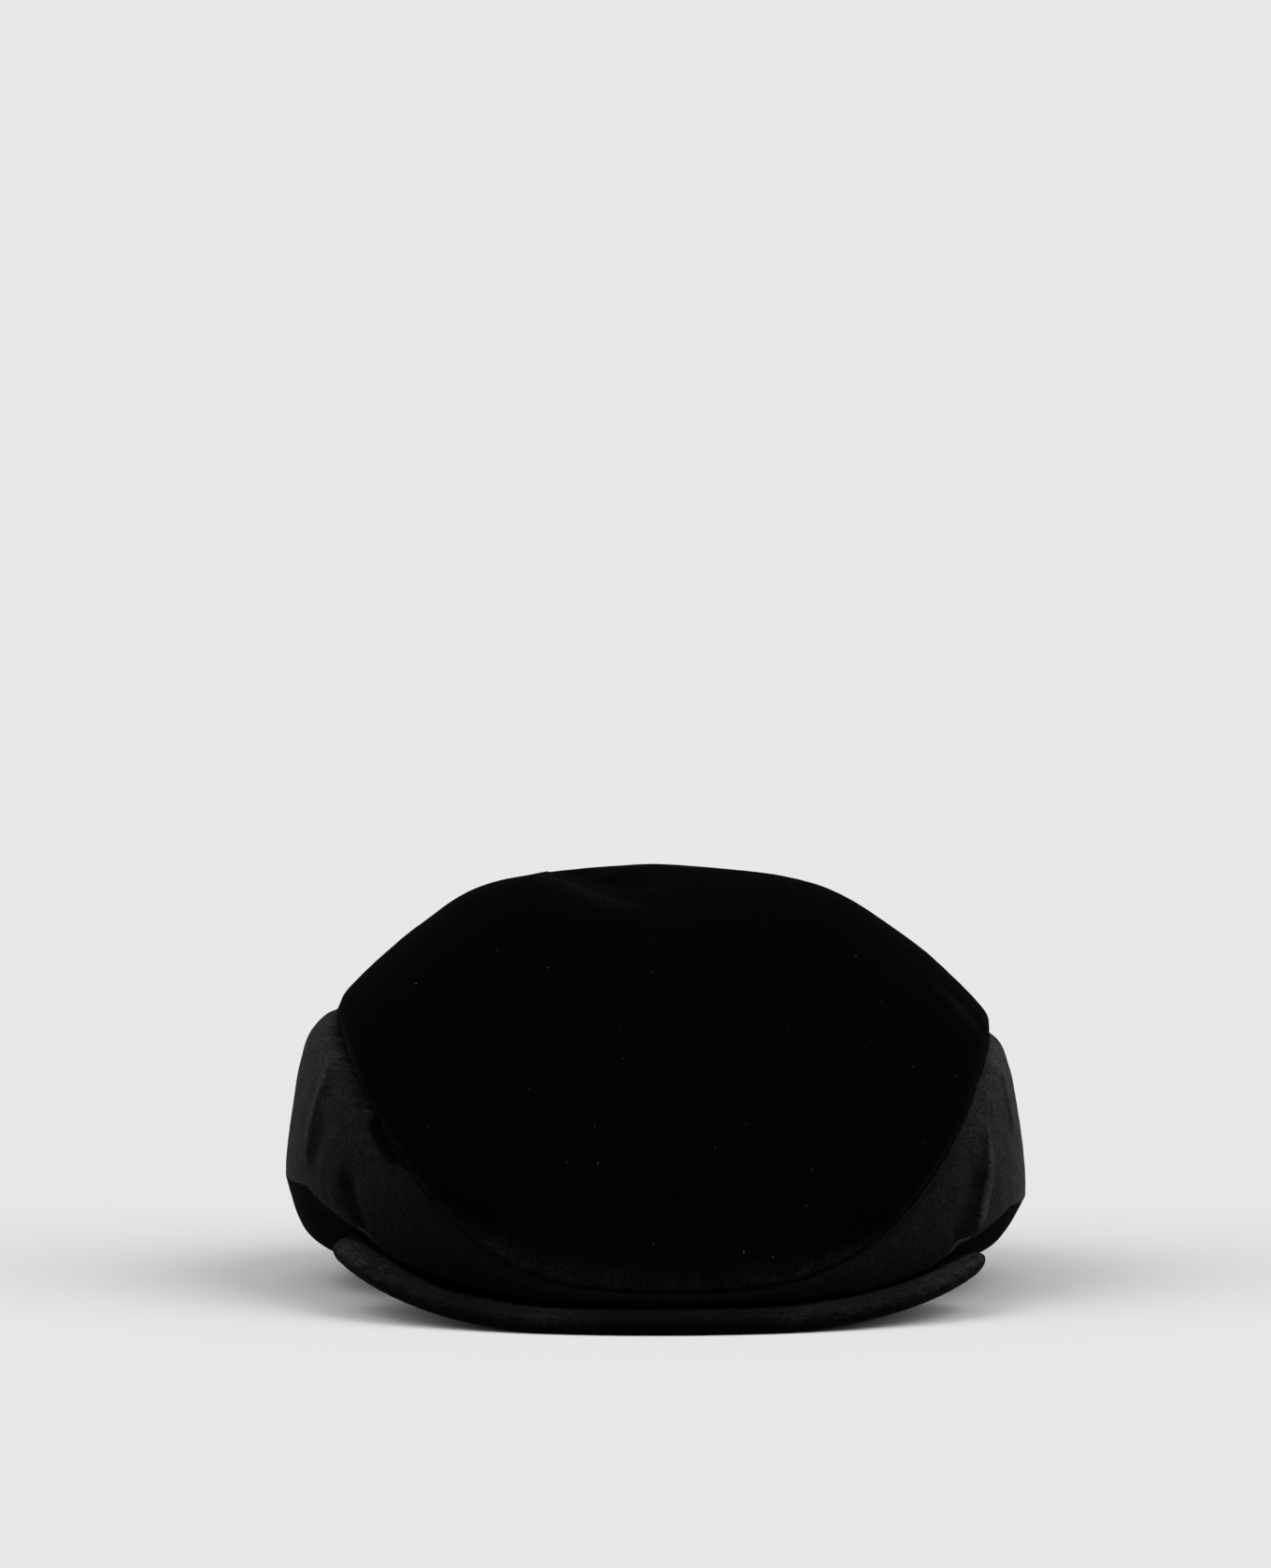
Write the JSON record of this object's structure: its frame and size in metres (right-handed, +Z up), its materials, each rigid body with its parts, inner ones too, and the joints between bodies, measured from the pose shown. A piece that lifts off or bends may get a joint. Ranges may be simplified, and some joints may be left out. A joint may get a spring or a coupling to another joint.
{
  "type": "velvet flat cap",
  "caption": "Soft rounded cap with a domed top panel, two side panels and a short stiff curved visor, hollow for the head.",
  "frame": {"origin": "on the table under the middle of the cap's box", "axes": "+Z up, the visor points to -Y, +X is on the right of someone who looks at the visor"},
  "size_m": [0.2262, 0.2696, 0.1268],
  "materials": {
    "top_velvet": "black cotton velvet, pile lying forward, very matt",
    "side_velvet": "black cotton velvet that shows its sheen where it turns away",
    "visor_velvet": "black cotton velvet pulled over a stiff board, slightly mottled"
  },
  "bodies": {
    "root": {"top_panel": "top_velvet", "side_panel_left": "side_velvet", "side_panel_right": "side_velvet", "visor": "visor_velvet"}
  },
  "joints": []
}
